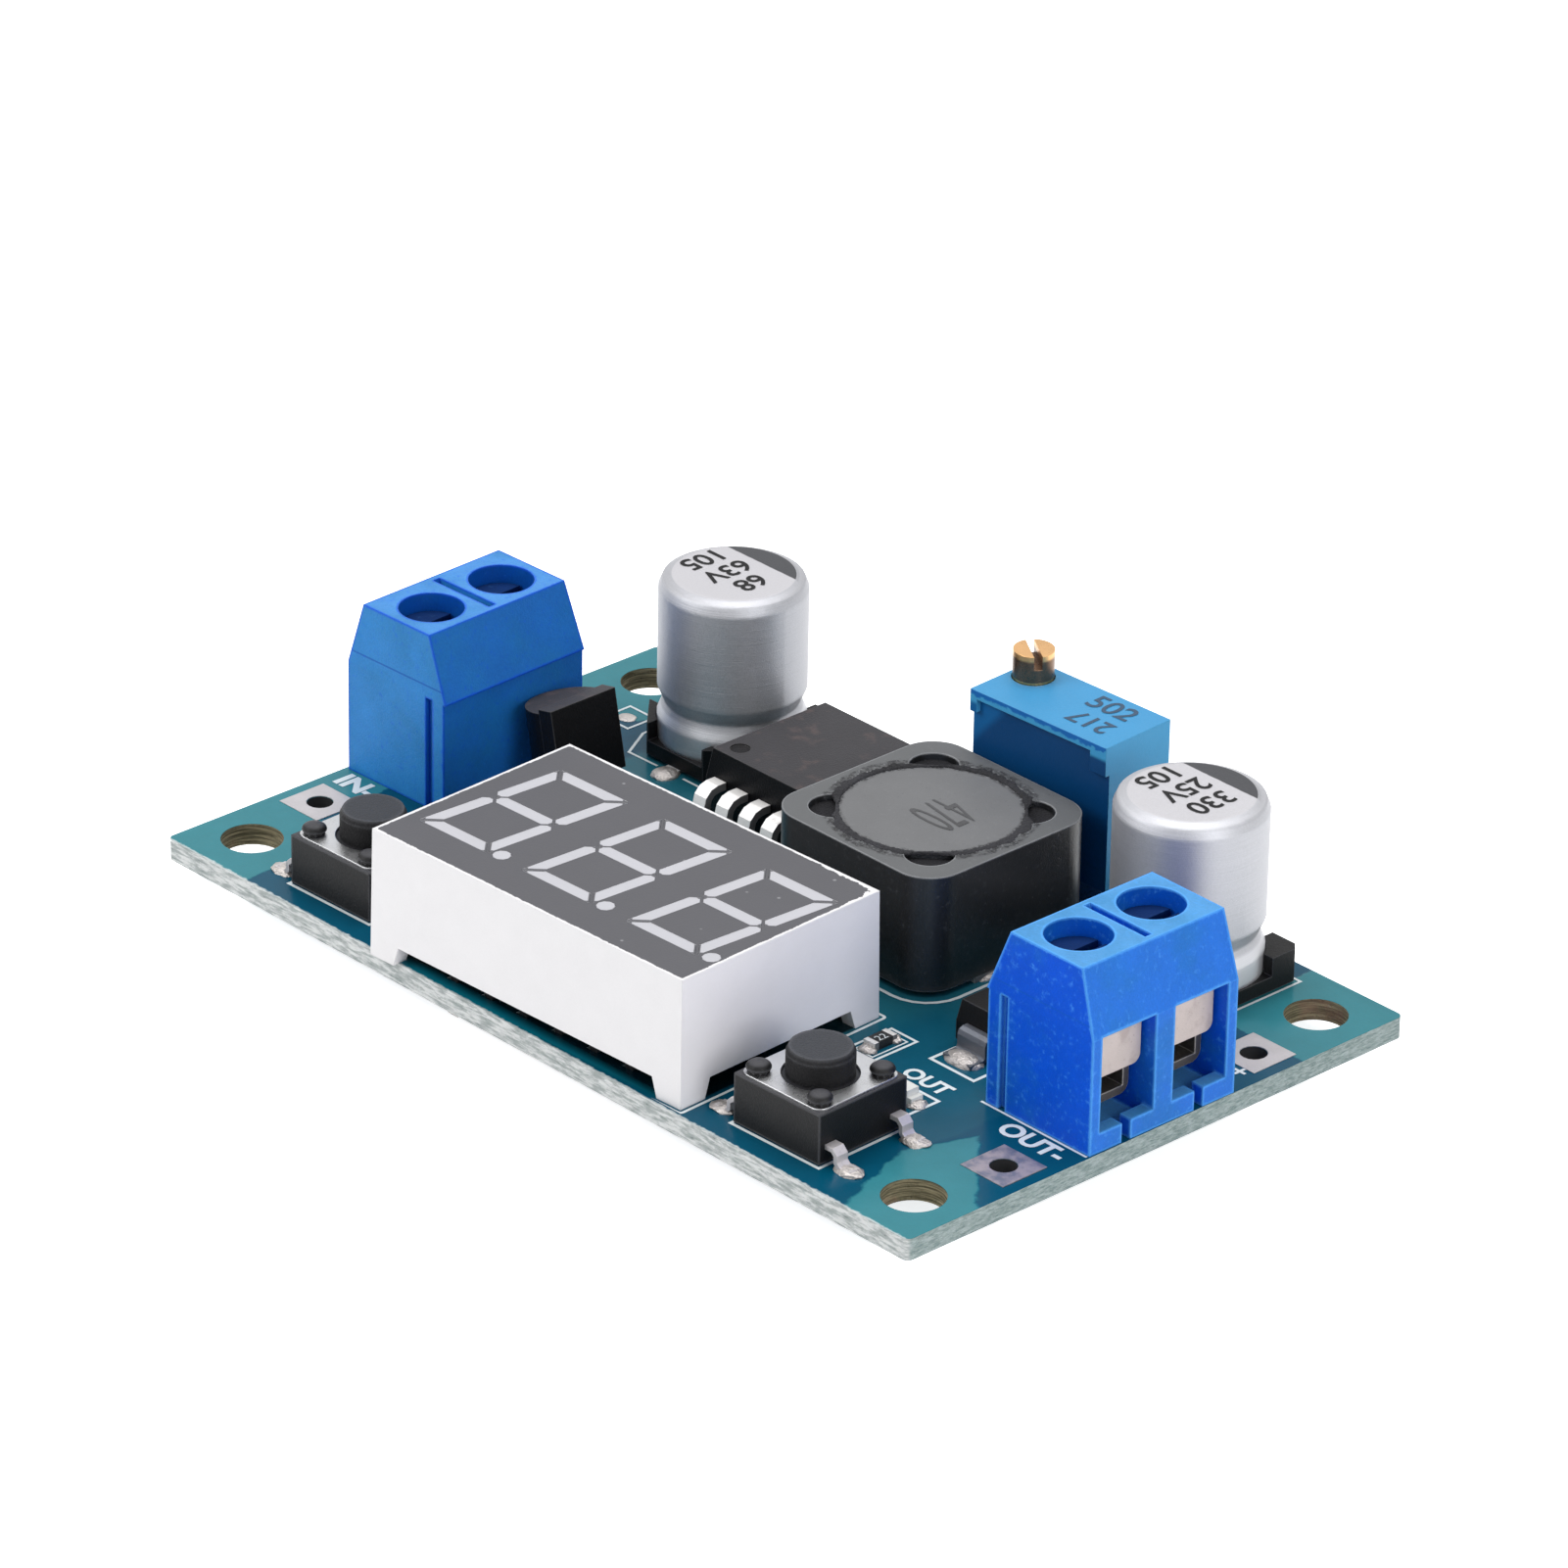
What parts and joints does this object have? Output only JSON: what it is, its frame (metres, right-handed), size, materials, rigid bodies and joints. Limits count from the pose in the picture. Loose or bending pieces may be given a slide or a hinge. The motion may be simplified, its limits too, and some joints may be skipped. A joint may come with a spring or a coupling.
{
  "type": "buck converter module",
  "caption": "Small teal circuit board with a display, two blue screw terminals, a shielded inductor, two can capacitors, a converter chip, a trimmer and two push switches.",
  "frame": {"origin": "centre of the four mounting holes on the board's underside", "axes": "+X from the input terminal to the output terminal, +Y from the display's edge to the trimmer's edge, +Z out of the component side"},
  "size_m": [0.0561, 0.0353, 0.0142],
  "materials": {
    "solder_mask": "glossy",
    "tinned": "satin",
    "solder": "glossy",
    "blue_moulding": "satin",
    "plated_steel": "satin",
    "can_metal": "satin",
    "black_moulding": "matte",
    "ferrite": "matte",
    "dark_glue": "rough",
    "copper": "satin",
    "brass": "satin",
    "trimmer_moulding": "satin",
    "display_moulding": "satin",
    "segment_resin": "matte",
    "ceramic": "matte",
    "plunger": "matte"
  },
  "bodies": {
    "board": {"circuit_board": "solder_mask", "wire_pads": "tinned", "underside_solder": "solder", "converter_chip_body": "black_moulding", "converter_chip_slug": "tinned", "converter_chip_leads": "tinned", "inductor_shield": "ferrite", "inductor_drum": "ferrite", "inductor_winding": "copper", "inductor_glue_ring": "dark_glue", "inductor_feet": "tinned", "trimmer_housing": "trimmer_moulding", "trimmer_base": "trimmer_moulding", "trimmer_pins": "tinned", "diode_body": "black_moulding", "diode_leads": "tinned", "regulator_body": "black_moulding", "regulator_leads": "tinned", "display_housing": "display_moulding", "display_segments": "segment_resin", "display_carrier_board": "ceramic", "display_pins": "tinned", "controller_chip_body": "black_moulding", "controller_chip_leads": "tinned", "chip_resistor_bodies": "black_moulding", "chip_capacitor_bodies": "ceramic", "chip_part_ends": "tinned", "indicator_lamp": "segment_resin", "input_terminal_housing": "blue_moulding", "input_terminal_contacts": "tinned", "input_capacitor_can": "can_metal", "input_capacitor_base": "black_moulding", "input_capacitor_feet": "tinned", "output_terminal_housing": "blue_moulding", "output_terminal_contacts": "tinned", "output_capacitor_can": "can_metal", "output_capacitor_base": "black_moulding", "output_capacitor_feet": "tinned", "left_switch_base": "black_moulding", "left_switch_cover": "plated_steel", "left_switch_dome": "plated_steel", "left_switch_legs": "tinned", "right_switch_base": "black_moulding", "right_switch_cover": "plated_steel", "right_switch_dome": "plated_steel", "right_switch_legs": "tinned"},
    "input_clamp_screw_1": {"input_clamp_screw_1": "plated_steel"},
    "input_clamp_cage_1": {"input_clamp_cage_1": "plated_steel"},
    "input_clamp_screw_2": {"input_clamp_screw_2": "plated_steel"},
    "input_clamp_cage_2": {"input_clamp_cage_2": "plated_steel"},
    "output_clamp_screw_1": {"output_clamp_screw_1": "plated_steel"},
    "output_clamp_cage_1": {"output_clamp_cage_1": "plated_steel"},
    "output_clamp_screw_2": {"output_clamp_screw_2": "plated_steel"},
    "output_clamp_cage_2": {"output_clamp_cage_2": "plated_steel"},
    "trimmer_screw": {"trimmer_screw": "brass"},
    "left_switch_plunger": {"left_switch_plunger": "plunger"},
    "right_switch_plunger": {"right_switch_plunger": "plunger"}
  },
  "joints": [
    {"name": "input_clamp_screw_1_turn", "type": "hinge", "parent": "board", "child": "input_clamp_screw_1", "pos_m": [-0.02428, 0.0026, 0.01], "axis": [0, 0, 1], "range_deg": [0, 648]},
    {"name": "input_clamp_cage_1_slide", "type": "slide", "parent": "board", "child": "input_clamp_cage_1", "axis": [0, 0, -1], "range_m": [0, 0.0009]},
    {"name": "input_clamp_screw_2_turn", "type": "hinge", "parent": "board", "child": "input_clamp_screw_2", "pos_m": [-0.02412, -0.0024, 0.01], "axis": [0, 0, 1], "range_deg": [0, 648]},
    {"name": "input_clamp_cage_2_slide", "type": "slide", "parent": "board", "child": "input_clamp_cage_2", "axis": [0, 0, -1], "range_m": [0, 0.0009]},
    {"name": "output_clamp_screw_1_turn", "type": "hinge", "parent": "board", "child": "output_clamp_screw_1", "pos_m": [0.02418, -0.0024, 0.01], "axis": [0, 0, 1], "range_deg": [0, 648]},
    {"name": "output_clamp_cage_1_slide", "type": "slide", "parent": "board", "child": "output_clamp_cage_1", "axis": [0, 0, -1], "range_m": [0, 0.0009]},
    {"name": "output_clamp_screw_2_turn", "type": "hinge", "parent": "board", "child": "output_clamp_screw_2", "pos_m": [0.02422, 0.0026, 0.01], "axis": [0, 0, 1], "range_deg": [0, 648]},
    {"name": "output_clamp_cage_2_slide", "type": "slide", "parent": "board", "child": "output_clamp_cage_2", "axis": [0, 0, -1], "range_m": [0, 0.0009]},
    {"name": "trimmer_screw_turn", "type": "hinge", "parent": "board", "child": "trimmer_screw", "pos_m": [0.00236, 0.01575, 0.0112], "axis": [0, 0, 1], "continuous": true},
    {"name": "left_switch_press", "type": "slide", "parent": "board", "child": "left_switch_plunger", "axis": [0, 0, -1], "range_m": [0, 0.00025], "stiffness_N_per_m": 1500, "springref_m": -0.0001, "deforming": ["left_switch_dome"]},
    {"name": "right_switch_press", "type": "slide", "parent": "board", "child": "right_switch_plunger", "axis": [0, 0, -1], "range_m": [0, 0.00025], "stiffness_N_per_m": 1500, "springref_m": -0.0001, "deforming": ["right_switch_dome"]}
  ],
  "couplings": [
    {"joint": "input_clamp_screw_1_turn", "follows": "input_clamp_cage_1_slide", "rad_per_m": 12566},
    {"joint": "input_clamp_screw_2_turn", "follows": "input_clamp_cage_2_slide", "rad_per_m": 12566},
    {"joint": "output_clamp_screw_1_turn", "follows": "output_clamp_cage_1_slide", "rad_per_m": 12566},
    {"joint": "output_clamp_screw_2_turn", "follows": "output_clamp_cage_2_slide", "rad_per_m": 12566}
  ]
}
